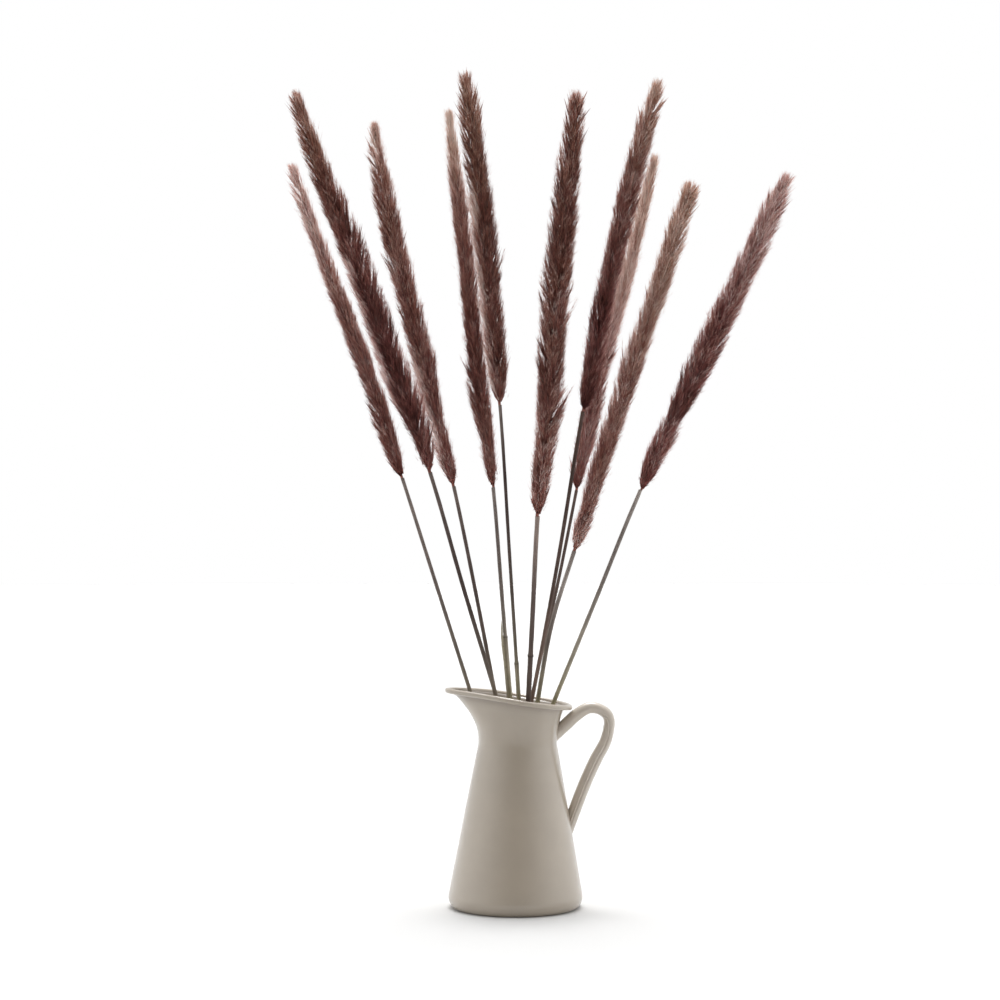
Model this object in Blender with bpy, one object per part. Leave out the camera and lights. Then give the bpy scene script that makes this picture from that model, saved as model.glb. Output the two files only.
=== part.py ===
"""Ten dried reed plumes standing in a cream enamelled steel jug.

Metres, +Z up. The origin is the middle of the jug's flat base, which stands on Z = 0.
+X is the side of the handle, and -Y is the side that the arrangement faces.
"""

import math
from collections import namedtuple

import bmesh
import bpy
from mathutils import Matrix, Vector
from mathutils.bvhtree import BVHTree

GAP = 0.0003  # left between pieces that touch

# The jug's outer skin, as it is turned before the spout is drawn
JUG_SEGMENTS = 48
JUG_TURN = math.radians(5)  # the handle points this far behind +X
WALL = 0.001
BASE_RADIUS = 0.0765
BELLY_RADIUS, BELLY_HEIGHT = 0.0862, 0.017
NECK_RADIUS, NECK_HEIGHT = 0.0519, 0.207
THROAT_RADIUS, THROAT_HEIGHT = 0.0572, 0.2495
RIM_RADIUS, RIM_HEIGHT = 0.0671, 0.2575
BEAD_RADIUS = 0.0025
BEAD_STARTS, BEAD_ENDS = math.radians(200), math.radians(535)
BEAD_STEPS = 9
SEAM_WIDTH = 0.0022  # the wall's foot is turned in by this much, and the floor sits inside it
LEAN = 0.0145  # sideways drift of the axis towards the handle, per metre of height

# The two handles of each curve between those rings, as (radius, height)
BASE_TO_BELLY = ((0.0830, 0.0), (0.0872, 0.0090))
BELLY_TO_NECK = ((0.0748, 0.0800), (0.0634, 0.1430))
NECK_TO_THROAT = ((0.0504, 0.2150), (0.0514, 0.2315))
THROAT_TO_BEAD = ((0.0586, 0.2540), (0.0610, 0.2562))

# The spout, and the tilt of the mouth, which rises from the handle to the spout
SPOUT_BEGINS = 0.213
SPOUT_REACH = 0.0245
SPOUT_PINCH = 0.25  # how much narrower the mouth is where the spout leaves it
SPOUT_LATENESS = 2.3  # a larger value keeps the wall straight for longer below the spout
SPOUT_NARROWNESS = 3
MOUTH_TILT = 0.135

# The handle's middle line, in the plane through the jug's axis, with half its thickness there
HANDLE_WIDTH = 0.015
HANDLE_LINE = (
    ((0.0655, 0.2377), 0.0068),
    ((0.0765, 0.2480), 0.0066),
    ((0.0985, 0.2575), 0.0062),
    ((0.1180, 0.2460), 0.0066),
    ((0.1210, 0.2280), 0.0072),
    ((0.1080, 0.1970), 0.0080),
    ((0.0860, 0.1500), 0.0080),
    ((0.0800, 0.1340), 0.0080),
)
HANDLE_SEGMENTS = 14
HANDLE_STEPS = 3

# The reeds. Places are (x, y) or (x, y, z), girths are the plume's radius low, midway and high
FOOT_HEIGHT = 0.0024
MOUTH_LEVEL = 0.270
Reed = namedtuple("Reed", "foot mouth bow collar low high tip girths blunt stem")
REEDS = (
    Reed((0.0275, 0.0005), (-0.0565, 0.018), 0.000, (-0.148, 0.055, 0.553), (-0.194, 0.075, 0.691),
         (-0.250, 0.095, 0.830), (-0.298, 0.115, 0.973), (0.0120, 0.0108, 0.0088), 0.0015, 0.0021),
    Reed((0.049, -0.010), (-0.0235, -0.030), -0.001, (-0.108, -0.067, 0.559), (-0.163, -0.091, 0.713),
         (-0.219, -0.115, 0.867), (-0.273, -0.140, 1.025), (0.0140, 0.0165, 0.0130), 0.0045, 0.0024),
    Reed((0.030, -0.006), (-0.0255, 0.013), 0.001, (-0.080, 0.027, 0.542), (-0.119, 0.036, 0.699),
         (-0.158, 0.045, 0.857), (-0.185, 0.055, 1.019), (0.0125, 0.0160, 0.0125), 0.0015, 0.0023),
    Reed((0.015, 0.020), (-0.007, 0.047), 0.000, (-0.029, 0.098, 0.541), (-0.052, 0.132, 0.712),
         (-0.071, 0.165, 0.883), (-0.090, 0.200, 1.059), (0.0110, 0.0125, 0.0095), 0.0015, 0.0023),
    Reed((0.020, -0.016), (0.004, -0.041), 0.000, (-0.020, -0.104, 0.643), (-0.033, -0.127, 0.777),
         (-0.045, -0.151, 0.910), (-0.063, -0.175, 1.047), (0.0138, 0.0145, 0.0122), 0.0015, 0.0022),
    Reed((0.006, -0.0255), (0.016, -0.047), 0.000, (0.027, -0.089, 0.504), (0.043, -0.122, 0.674),
         (0.056, -0.156, 0.844), (0.074, -0.190, 1.019), (0.0140, 0.0172, 0.0140), 0.0045, 0.0028),
    Reed((-0.038, -0.010), (0.021, -0.019), 0.002, (0.085, -0.052, 0.637), (0.111, -0.066, 0.773),
         (0.142, -0.080, 0.910), (0.179, -0.095, 1.050), (0.0145, 0.0138, 0.0130), 0.0015, 0.0024),
    Reed((-0.025, 0.010), (0.022, 0.039), 0.002, (0.081, 0.080, 0.537), (0.109, 0.105, 0.681),
         (0.154, 0.130, 0.834), (0.191, 0.155, 0.991), (0.0128, 0.0108, 0.0085), 0.0015, 0.0021),
    Reed((-0.014, -0.0126), (0.0295, 0.006), -0.006, (0.076, 0.014, 0.458), (0.127, 0.023, 0.616),
         (0.179, 0.031, 0.775), (0.229, 0.040, 0.938), (0.0108, 0.0123, 0.0142), 0.0080, 0.0025),
    Reed((-0.056, -0.002), (0.051, -0.012), 0.000, (0.159, -0.036, 0.537), (0.221, -0.052, 0.667),
         (0.283, -0.068, 0.798), (0.342, -0.085, 0.933), (0.0135, 0.0178, 0.0150), 0.0015, 0.0022),
)
FOOT_FLARE = 1.12  # the foot of a stem is this much thicker than its top
STEM_STEPS = 4
PLUME_STEPS = 5
GIRTH_PLACES = (0.0, 0.2, 0.5, 0.85, 1.0)
PLUME_SHAPE = ((0.0, 0.15), (0.07, 0.62), (0.2, 1.0), (0.5, 1.0), (0.85, 1.0), (0.95, 0.72), (1.0, 0.0))

# The loose leaf sheath of the fourth reed: (height, distance from the stem's middle)
LEAF_REED = 4
LEAF_LINE = ((0.215, 0.0042), (0.275, 0.0046), (0.308, 0.0050), (0.344, 0.0061), (0.366, 0.0044))
LEAF_STEPS = 3
LEAF_HALF_WIDTHS = ((0.215, 0.0028), (0.366, 0.0016))  # at its foot and at its tip
LEAF_CUP = 0.32  # how far its edges curl towards the stem, as a part of its half width
LEAF_THICKNESS = 0.0005
LEAF_SIDE = Vector((-0.78, -0.62, 0))  # it hangs on this side of the stem

CREAM_ENAMEL = (0.50, 0.45, 0.37)
DRY_STEM = (0.13, 0.10, 0.07)
PLUME_BROWN = (0.12, 0.045, 0.035)
PAPERY_STRAW = (0.55, 0.50, 0.38)


def clear_scene():
    for obj in list(bpy.data.objects):
        bpy.data.objects.remove(obj)


def plain_material(name, colour, roughness, metallic=0.0):
    material = bpy.data.materials.new(name)
    material.use_nodes = True
    shader = material.node_tree.nodes["Principled BSDF"]
    shader.inputs["Base Color"].default_value = (*colour, 1)
    shader.inputs["Roughness"].default_value = roughness
    shader.inputs["Metallic"].default_value = metallic
    return material


def add_object(name, data, material):
    obj = bpy.data.objects.new(name, data)
    data.materials.append(material)
    bpy.context.scene.collection.objects.link(obj)
    return obj


def finish_mesh(bm, name, material):
    """Turns the bmesh into a smoothly shaded object with its faces pointing out."""
    bmesh.ops.recalc_face_normals(bm, faces=bm.faces)
    mesh = bpy.data.meshes.new(name)
    bm.to_mesh(mesh)
    bm.free()
    mesh.shade_smooth()
    mesh.set_sharp_from_angle(angle=math.radians(40))
    return add_object(name, mesh, material)


def bezier(start, near_start, near_end, end, steps):
    """Points of a cubic curve, without its first one."""
    points = []
    for step in range(1, steps + 1):
        t = step / steps
        u = 1 - t
        weights = (u**3, 3 * u * u * t, 3 * u * t * t, t**3)
        corners = (start, near_start, near_end, end)
        points.append(tuple(sum(w * c[k] for w, c in zip(weights, corners)) for k in (0, 1)))
    return points


def smooth_line(points, steps):
    """A smooth curve through the points, with this many steps from each to the next."""
    points = [Vector(p) for p in points]
    spans = [(b - a).length for a, b in zip(points, points[1:])]
    slopes = [(b - a) / s for a, b, s in zip(points, points[1:], spans)]
    tangents = [slopes[0]]
    for before, after, near, far in zip(slopes, slopes[1:], spans, spans[1:]):
        tangents.append((before * far + after * near) / (near + far))
    tangents.append(slopes[-1])
    line = [points[0]]
    for i, span in enumerate(spans):
        for step in range(1, steps + 1):
            t = step / steps
            line.append(
                points[i] * (1 + 2 * t) * (1 - t) ** 2
                + tangents[i] * (span * t * (1 - t) ** 2)
                + points[i + 1] * (3 - 2 * t) * t**2
                + tangents[i + 1] * (span * (t - 1) * t**2)
            )
    return line


def read_table(table, at):
    """The value at this place, on straight lines between the (place, value) pairs."""
    for (low, low_value), (high, high_value) in zip(table, table[1:]):
        if at <= high:
            return low_value + (high_value - low_value) * (at - low) / (high - low)
    return table[-1][1]


# ---- the jug ----


def outer_skin():
    """(radius, height) points of the outside, from the base's edge to the underside of the bead."""
    base = (BASE_RADIUS, 0.0)
    belly = (BELLY_RADIUS, BELLY_HEIGHT)
    neck = (NECK_RADIUS, NECK_HEIGHT)
    throat = (THROAT_RADIUS, THROAT_HEIGHT)
    under_bead = bead_point(BEAD_STARTS)
    return (
        [base]
        + bezier(base, *BASE_TO_BELLY, belly, 4)
        + bezier(belly, *BELLY_TO_NECK, neck, 3)
        + bezier(neck, *NECK_TO_THROAT, throat, 5)
        + bezier(throat, *THROAT_TO_BEAD, under_bead, 4)
    )


def bead_point(angle):
    return (
        RIM_RADIUS + BEAD_RADIUS * math.cos(angle),
        RIM_HEIGHT + BEAD_RADIUS * math.sin(angle),
    )


def bead_arc():
    """The rolled bead's round outside, between its two joints with the wall."""
    turn = (BEAD_ENDS - BEAD_STARTS) / BEAD_STEPS
    return [bead_point(BEAD_STARTS + turn * step) for step in range(1, BEAD_STEPS + 1)]


def inner_skin(outer):
    """The outer skin moved in by the wall's thickness, from the floor's edge to under the bead."""
    inner = []
    for before, point, after in zip([(0.0, 0.0)] + outer, outer, outer[1:]):
        along = Vector((after[0] - before[0], after[1] - before[1])).normalized()
        inner.append((point[0] - along.y * WALL, point[1] + along.x * WALL))
    inner[0] = (BASE_RADIUS - WALL / 2, WALL)
    return inner


def draw_spout(point):
    """Where a point of the turned shell ends up once the mouth is drawn out towards -X."""
    lift = max(0.0, (point.z - SPOUT_BEGINS) / (RIM_HEIGHT - SPOUT_BEGINS))
    facing = max(0.0, -point.x / max(point.xy.length, WALL))
    flare = lift**SPOUT_LATENESS
    lean = LEAN * max(0.0, point.z - BELLY_HEIGHT)
    x = point.x + lean - SPOUT_REACH * flare * facing**SPOUT_NARROWNESS
    y = point.y * (1 - SPOUT_PINCH * flare * facing**2)
    z = point.z + MOUTH_TILT * lift * (RIM_RADIUS + BEAD_RADIUS - point.x)
    return Vector((x, y, z))


def make_shell(name, profile, material):
    """Turns a closed (radius, height) profile round the jug's axis and draws out the spout."""
    bm = bmesh.new()
    corners = [bm.verts.new((radius, 0, height)) for radius, height in profile]
    edges = [bm.edges.new(pair) for pair in zip(corners, corners[1:] + corners[:1])]
    bmesh.ops.spin(
        bm, geom=corners + edges, cent=(0, 0, 0), axis=(0, 0, 1),
        angle=math.tau, steps=JUG_SEGMENTS, use_merge=True,
    )
    bmesh.ops.remove_doubles(bm, verts=bm.verts, dist=1e-6)
    for vert in bm.verts:
        vert.co = draw_spout(vert.co)
    bmesh.ops.rotate(bm, verts=bm.verts, cent=(0, 0, 0), matrix=Matrix.Rotation(JUG_TURN, 3, "Z"))
    return finish_mesh(bm, name, material)


def make_jug(enamel):
    """The wall up to the neck, the mouth above the neck, and the floor seamed into the wall."""
    outer = outer_skin()
    inner = inner_skin(outer)
    neck = outer.index((NECK_RADIUS, NECK_HEIGHT))
    seam = BASE_RADIUS - SEAM_WIDTH
    flange = [(seam, WALL), (seam, 0.0)]
    wall = make_shell("jug_body", outer[: neck + 1] + inner[neck::-1] + flange, enamel)
    above = NECK_HEIGHT + GAP
    outside = [(NECK_RADIUS, above)] + outer[neck + 1 :]
    inside = inner[:neck:-1] + [(NECK_RADIUS - WALL, above)]
    mouth = make_shell("jug_mouth", outside + bead_arc() + inside, enamel)
    bm = bmesh.new()
    bmesh.ops.create_cone(
        bm, cap_ends=True, cap_tris=True, segments=JUG_SEGMENTS, depth=WALL,
        radius1=seam - GAP, radius2=seam - GAP, matrix=Matrix.Translation((0, 0, WALL / 2)),
    )
    finish_mesh(bm, "jug_base", enamel)
    return wall, mouth


def handle_frames():
    """One matrix for each ring: its place, its two half widths and the way that the handle runs."""
    line = smooth_line([(x, 0, z) for (x, z), _ in HANDLE_LINE], HANDLE_STEPS)
    halves = [(i * HANDLE_STEPS, half) for i, (_, half) in enumerate(HANDLE_LINE)]
    frames = []
    for i, place in enumerate(line):
        along = (line[min(i + 1, len(line) - 1)] - line[max(i - 1, 0)]).normalized()
        across = Vector((0, 1, 0))
        outward = along.cross(across)
        turned = Matrix((outward, across, along)).transposed().to_4x4()
        sizes = Matrix.Diagonal((read_table(halves, i), HANDLE_WIDTH / 2, 1, 1))
        frames.append(Matrix.Translation(place) @ turned @ sizes)
    return frames


def close_on_wall(bm, ring, direction, wall):
    """Caps an end ring and slides it along the handle until it almost meets the jug all over."""
    cap = bmesh.ops.contextual_create(bm, geom=ring)["faces"]
    middle = bmesh.ops.poke(bm, faces=cap)["verts"]
    for vert in ring + middle:
        place, normal, _, _ = wall.ray_cast(vert.co, direction)
        vert.co = place - direction * (GAP / abs(direction.dot(normal)))


def make_jug_handle(enamel, wall, mouth):
    bm = bmesh.new()
    turn = Matrix.Rotation(JUG_TURN, 4, "Z")
    frames = [turn @ frame for frame in handle_frames()]
    first = bmesh.ops.create_circle(bm, segments=HANDLE_SEGMENTS, radius=1, matrix=frames[0])["verts"]
    edges = list(bm.edges)
    verts = first
    for before, after in zip(frames, frames[1:]):
        grown = bmesh.ops.extrude_edge_only(bm, edges=edges)["geom"]
        verts = [g for g in grown if isinstance(g, bmesh.types.BMVert)]
        edges = [g for g in grown if isinstance(g, bmesh.types.BMEdge)]
        bmesh.ops.transform(bm, matrix=after @ before.inverted(), verts=verts)
    graph = bpy.context.evaluated_depsgraph_get()
    upward, downward = -frames[0].col[2].xyz.normalized(), frames[-1].col[2].xyz.normalized()
    close_on_wall(bm, first, upward, BVHTree.FromObject(mouth, graph))
    close_on_wall(bm, verts, downward, BVHTree.FromObject(wall, graph))
    return finish_mesh(bm, "jug_handle", enamel)


# ---- the reeds ----


def make_tube(name, line, radii, resolution, material):
    """A round solid along the line, with its own radius at each point."""
    curve = bpy.data.curves.new(name, "CURVE")
    curve.dimensions = "3D"
    curve.bevel_depth = 1.0
    curve.bevel_resolution = resolution
    curve.use_fill_caps = True
    spline = curve.splines.new("POLY")
    spline.points.add(len(line) - 1)
    for point, place, radius in zip(spline.points, line, radii):
        point.co = (*place, 1)
        point.radius = radius
    return add_object(name, curve, material)


def stem_and_plume_lines(reed):
    """The reed's middle line, cut where the stem ends and the plume begins."""
    mouth = Vector((*reed.mouth, MOUTH_LEVEL))
    collar = Vector(reed.collar)
    halfway = (mouth + collar) / 2 + Vector((reed.bow, 0, 0))
    points = ((*reed.foot, FOOT_HEIGHT), mouth, halfway, collar, reed.low, reed.high, reed.tip)
    stem = smooth_line(points, STEM_STEPS)[: 3 * STEM_STEPS + 1]
    plume = smooth_line(points, PLUME_STEPS)[3 * PLUME_STEPS :]
    return stem, plume


def plume_radii(reed, count):
    """The fox-tail's outline: a quick swelling above the collar and a long taper to the tip."""
    girths = tuple(zip(GIRTH_PLACES, (reed.girths[0], *reed.girths, reed.girths[-1])))
    radii = []
    for i in range(count):
        at = i / (count - 1)
        radii.append(max(reed.blunt, read_table(girths, at) * read_table(PLUME_SHAPE, at)))
    radii[0] = reed.stem
    return radii


def make_reed(number, reed, stem_material, plume_material):
    name = f"reed_{number:02d}"
    stem, plume = stem_and_plume_lines(reed)
    plume[0] += (plume[1] - plume[0]).normalized() * GAP
    count = len(stem)
    flares = ((0, FOOT_FLARE), (count - 1, 1.0))
    radii = [reed.stem * read_table(flares, i) for i in range(count)]
    make_tube(f"{name}_stem", stem, radii, 2, stem_material)
    make_tube(f"{name}_plume", plume, plume_radii(reed, len(plume)), 3, plume_material)


def make_leaf(material):
    """A cupped strip of dry leaf that stands off the stem, thickened by a Solidify modifier."""
    reed = REEDS[LEAF_REED - 1]
    stem = [(point.z, point) for point in stem_and_plume_lines(reed)[0]]
    side = LEAF_SIDE.normalized()
    edgewise = side.cross(Vector((0, 0, 1)))
    line = smooth_line([(height, 0, off) for height, off in LEAF_LINE], LEAF_STEPS)
    bm = bmesh.new()
    rows = []
    for height, _, off in line:
        half = read_table(LEAF_HALF_WIDTHS, height)
        middle = read_table(stem, height) + side * off
        curled = middle - side * (LEAF_CUP * half)
        places = (curled + edgewise * half, middle, curled - edgewise * half)
        rows.append([bm.verts.new(place) for place in places])
    for row, above in zip(rows, rows[1:]):
        for k in (0, 1):
            bm.faces.new((row[k], row[k + 1], above[k + 1], above[k]))
    leaf = finish_mesh(bm, f"reed_{LEAF_REED:02d}_leaf", material)
    solidify = leaf.modifiers.new("Solidify", "SOLIDIFY")
    solidify.thickness = LEAF_THICKNESS
    solidify.offset = 0


def main():
    clear_scene()
    enamel = plain_material("cream enamel", CREAM_ENAMEL, 0.3)
    stem_material = plain_material("dry stem", DRY_STEM, 0.6)
    plume_material = plain_material("plume", PLUME_BROWN, 0.9)
    straw = plain_material("papery straw", PAPERY_STRAW, 0.8)
    wall, mouth = make_jug(enamel)
    make_jug_handle(enamel, wall, mouth)
    for number, reed in enumerate(REEDS, start=1):
        make_reed(number, reed, stem_material, plume_material)
    make_leaf(straw)


main()
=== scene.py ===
"""Ten dried reed plumes standing in a cream enamelled steel jug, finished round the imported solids.

Metres, +Z up. The jug's flat base stands on Z = 0 with its middle at the origin.
+X is the side of the handle, and -Y is the side that the arrangement faces.
"""

import math
from collections import namedtuple

import bmesh
import bpy
import numpy as np
from mathutils import Matrix, Vector
from mathutils.bvhtree import BVHTree


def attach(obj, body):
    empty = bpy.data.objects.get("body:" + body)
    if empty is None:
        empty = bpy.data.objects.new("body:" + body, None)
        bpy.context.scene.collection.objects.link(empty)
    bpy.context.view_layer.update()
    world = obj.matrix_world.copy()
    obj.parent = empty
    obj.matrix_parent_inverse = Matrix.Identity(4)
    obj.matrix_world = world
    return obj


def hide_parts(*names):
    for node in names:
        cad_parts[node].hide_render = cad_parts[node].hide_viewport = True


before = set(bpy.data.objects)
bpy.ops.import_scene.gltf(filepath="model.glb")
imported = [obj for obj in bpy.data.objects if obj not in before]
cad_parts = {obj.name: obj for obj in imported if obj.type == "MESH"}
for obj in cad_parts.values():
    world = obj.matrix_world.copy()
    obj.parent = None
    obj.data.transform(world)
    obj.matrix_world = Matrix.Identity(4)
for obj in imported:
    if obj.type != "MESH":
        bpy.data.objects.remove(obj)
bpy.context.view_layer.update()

# ---- The jug's body ----
# One shell of thin steel sheet: spun to a cone with a narrow neck, its mouth drawn out into a
# spout, its rim rolled over into a bead. It is dipped in cream enamel and fired, which leaves
# a satin glass skin with a faint orange peel.

WALL = 0.001
BASE_RADIUS = 0.0765
BELLY_RADIUS, BELLY_HEIGHT = 0.0862, 0.017
NECK_RADIUS, NECK_HEIGHT = 0.0513, 0.207
THROAT_RADIUS, THROAT_HEIGHT = 0.0572, 0.2495
RIM_RADIUS, RIM_HEIGHT = 0.0667, 0.2575  # of the middle of the rolled bead
BEAD_RADIUS = 0.0033
BEAD_STARTS, BEAD_ENDS = math.radians(200), math.radians(535)  # counted from its outer side
BEAD_STEPS = 24
BASE_TO_BELLY = ((0.0830, 0.0), (0.0872, 0.0090))  # the two handles of each curve
BELLY_TO_NECK = ((0.0748, 0.0800), (0.0634, 0.1430))
NECK_TO_THROAT = ((0.0498, 0.2150), (0.0506, 0.2315))
THROAT_TO_BEAD = ((0.0586, 0.2540), (0.0610, 0.2562))
CURVE_STEPS = (12, 18, 16, 7)
BASE_RINGS = (0, 0.5, 0.93)  # the flat floor's rings, as parts of its radius
JUG_SEGMENTS = 144
JUG_TURN = math.radians(5)
LEAN = 0.0145  # metres towards the handle for each metre above the belly
SPOUT_BEGINS = 0.219  # the height from which the mouth is drawn out
SPOUT_REACH = 0.0245
SPOUT_PINCH = 0.25  # the part of the mouth's breadth that the spout takes away
SPOUT_LATENESS = 1.9  # the power by which the drawing out grows with height
SPOUT_NARROWNESS = 3  # the power by which it falls off round the mouth
SPOUT_RISE = 0.0018
MOUTH_TILT = 0.150  # how steeply the rim climbs from the handle to the spout
UNDER_BEAD_SHADE_REACH = 0.010  # how far below the bead's middle the painted shade under the bead reaches
UNDER_BEAD_SHADE_FADE = 1.4  # the power by which that painted shade fades downwards

ENAMEL_CREAM = (0.430, 0.366, 0.290)
ENAMEL_THIN = (0.374, 0.318, 0.252)  # where the fired coat is a little thinner
ENAMEL_PAINTED_SHADE = (0.170, 0.134, 0.104)  # painted shade, darkest close under the bead's overhang
ENAMEL_CLOUDING = 0.35  # how far its clouds go towards the thinner coat's colour
PEEL_FINE = 0.35  # how high its fine waves are beside the slow ones


class Wire:
    """An output in a material. Arithmetic on it adds Math nodes, and node() adds any other."""

    def __init__(self, tree, socket=None):
        self.tree, self.socket = tree, socket

    def node(self, kind, settings=None, inputs=None, output=0):
        """Adds a node of this type, sets its settings, then its inputs to values or wires."""
        made = self.tree.nodes.new(kind)
        for name, value in (settings or {}).items():
            if name == "stops":
                for _ in value[2:]:
                    made.color_ramp.elements.new(1)
                for stop, (place, colour) in zip(made.color_ramp.elements, value):
                    stop.position = place
                    stop.color = (*colour, 1)
            else:
                setattr(made, name, value)
        for name, value in (inputs or {}).items():
            if isinstance(value, Wire):
                self.tree.links.new(value.socket, made.inputs[name])
            else:
                made.inputs[name].default_value = value
        return Wire(self.tree, made.outputs[output] if made.outputs else None)

    def maths(self, operation, first, second):
        return self.node("ShaderNodeMath", {"operation": operation}, {0: first, 1: second})

    def __add__(self, other):
        return self.maths("ADD", self, other)

    def __sub__(self, other):
        return self.maths("SUBTRACT", self, other)

    def __rsub__(self, other):
        return self.maths("SUBTRACT", other, self)

    def __mul__(self, other):
        return self.maths("MULTIPLY", self, other)

    def __pow__(self, other):
        return self.maths("POWER", self, other)

    __radd__, __rmul__ = __add__, __mul__

    def blend(self, first, second):
        """The first colour where this is 0, the second where it is 1."""
        sides = {"Factor": self, 6: first, 7: second}
        return self.node("ShaderNodeMix", {"data_type": "RGBA"}, sides, output=2)

    def attribute(self, name, output):
        return self.node("ShaderNodeAttribute", {"attribute_name": name}, output=output)

    def axis(self, letter):
        """The X, Y or Z of this place."""
        return self.node("ShaderNodeSeparateXYZ", None, {0: self}, output=letter)

    def noise(self, scale, detail):
        """Soft noise read at this place, with about this many waves to a metre."""
        inputs = {"Vector": self, "Scale": scale, "Detail": detail}
        return self.node("ShaderNodeTexNoise", None, inputs)

    def stretch(self, low, high, bottom=0.0, top=1.0):
        """The bottom value where this is low, the top one where it is high."""
        inputs = {"Value": self, "From Min": low, "From Max": high, "To Min": bottom, "To Max": top}
        return self.node("ShaderNodeMapRange", None, inputs)


def colour_of(rgb):
    return (*rgb, 1)


def new_material(name):
    """A material with no nodes yet, and the wire to start them from."""
    material = bpy.data.materials.new(name)
    material.use_nodes = True
    material.node_tree.nodes.clear()
    return material, Wire(material.node_tree)


def close_material(wire, shader):
    """Makes this shader the surface of the wire's material."""
    wire.node("ShaderNodeOutputMaterial", inputs={"Surface": shader})


def add_piece(name, mesh, material, slot, *replaced):
    """Puts the mesh in the scene as a piece that stands for these solids."""
    piece = bpy.data.objects.new(name, mesh)
    mesh.materials.append(material)
    bpy.context.scene.collection.objects.link(piece)
    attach(piece, "root")
    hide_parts(*replaced)
    return piece


def finish_mesh(bm, name, sharp=35):
    """The bmesh as a smoothly shaded mesh, with its doubles merged and its faces pointing out."""
    bmesh.ops.remove_doubles(bm, verts=bm.verts, dist=1e-6)
    bmesh.ops.recalc_face_normals(bm, faces=bm.faces)
    mesh = bpy.data.meshes.new(name)
    bm.to_mesh(mesh)
    bm.free()
    mesh.shade_smooth()
    mesh.set_sharp_from_angle(angle=math.radians(sharp))
    return mesh


def bezier(start, handles, end, steps):
    """Points of a cubic curve, without its first one."""
    corners = (Vector(start), *map(Vector, handles), Vector(end))
    points = []
    for step in range(1, steps + 1):
        t = step / steps
        weights = ((1 - t) ** 3, 3 * (1 - t) ** 2 * t, 3 * (1 - t) * t**2, t**3)
        points.append(sum((w * c for w, c in zip(weights, corners)), Vector((0, 0))))
    return points


def bead_point(angle):
    middle = Vector((RIM_RADIUS, RIM_HEIGHT))
    return middle + BEAD_RADIUS * Vector((math.cos(angle), math.sin(angle)))


def outer_skin():
    """The shell's outside as (radius, height) points, from the base's edge to the bead."""
    corners = (
        (BASE_RADIUS, 0), (BELLY_RADIUS, BELLY_HEIGHT), (NECK_RADIUS, NECK_HEIGHT),
        (THROAT_RADIUS, THROAT_HEIGHT), bead_point(BEAD_STARTS),
    )
    curves = (BASE_TO_BELLY, BELLY_TO_NECK, NECK_TO_THROAT, THROAT_TO_BEAD)
    skin = [Vector(corners[0])]
    for start, handles, end, steps in zip(corners, curves, corners[1:], CURVE_STEPS):
        skin += bezier(start, handles, end, steps)
    return skin


def inner_skin(outer):
    """The outer skin moved in by the wall's thickness, from under the bead down to the floor."""
    inner = [Vector((BASE_RADIUS - WALL / 2, WALL))]
    for before, point, after in zip(outer, outer[1:], outer[2:] + outer[-1:]):
        along = (after - before).normalized()
        inner.append(point + WALL * Vector((-along.y, along.x)))
    return inner[::-1]


def on_bead(point):
    """Whether this point of the spun shell is on the bead, to a hundredth of its radius."""
    off = Vector((point.xy.length, point.z)) - Vector((RIM_RADIUS, RIM_HEIGHT))
    return off.length < BEAD_RADIUS * 1.01


def draw_spout(point):
    """Where a point of the spun shell ends up once the mouth is drawn out towards -X."""
    lift = (point.z - SPOUT_BEGINS) / (bead_point(BEAD_STARTS).y - SPOUT_BEGINS)
    lift = 1.0 if on_bead(point) else min(1.0, max(0.0, lift))
    facing = max(0.0, -point.x / max(point.xy.length, WALL))
    flare = lift**SPOUT_LATENESS
    lean = LEAN * max(0.0, point.z - BELLY_HEIGHT)
    x = point.x + lean - SPOUT_REACH * flare * facing**SPOUT_NARROWNESS
    y = point.y * (1 - SPOUT_PINCH * flare * facing**2)
    z = point.z + MOUTH_TILT * lift * (RIM_RADIUS + BEAD_RADIUS - point.x)
    z += SPOUT_RISE * flare * facing
    return Vector((x, y, z))


def jug_mesh():
    outer = outer_skin()
    turn = (BEAD_ENDS - BEAD_STARTS) / BEAD_STEPS
    bead = [bead_point(BEAD_STARTS + turn * step) for step in range(1, BEAD_STEPS + 1)]
    underside = [Vector((BASE_RADIUS * part, 0)) for part in BASE_RINGS]
    floor = [Vector((BASE_RADIUS * part, WALL)) for part in reversed(BASE_RINGS)]
    profile = underside + outer + bead + inner_skin(outer) + floor
    bm = bmesh.new()
    corners = [bm.verts.new((point.x, 0, point.y)) for point in profile]
    edges = [bm.edges.new(pair) for pair in zip(corners, corners[1:])]
    bmesh.ops.spin(
        bm, geom=corners + edges, cent=(0, 0, 0), axis=(0, 0, 1),
        angle=math.tau, steps=JUG_SEGMENTS, use_merge=True,
    )
    # Painted shade: a weight that darkens the enamel close under the bead, where its overhang shades
    # the wall.
    thin = bm.verts.layers.float.new("thin")
    for vert in bm.verts:
        near_bead = max(0.0, 1 - (RIM_HEIGHT - vert.co.z) / UNDER_BEAD_SHADE_REACH)
        vert[thin] = 0.0 if on_bead(vert.co) else near_bead**UNDER_BEAD_SHADE_FADE
        vert.co = draw_spout(vert.co)
    bmesh.ops.rotate(bm, verts=bm.verts, matrix=Matrix.Rotation(JUG_TURN, 3, "Z"))
    return finish_mesh(bm, "jug_body_enamelled", sharp=50)


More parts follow.
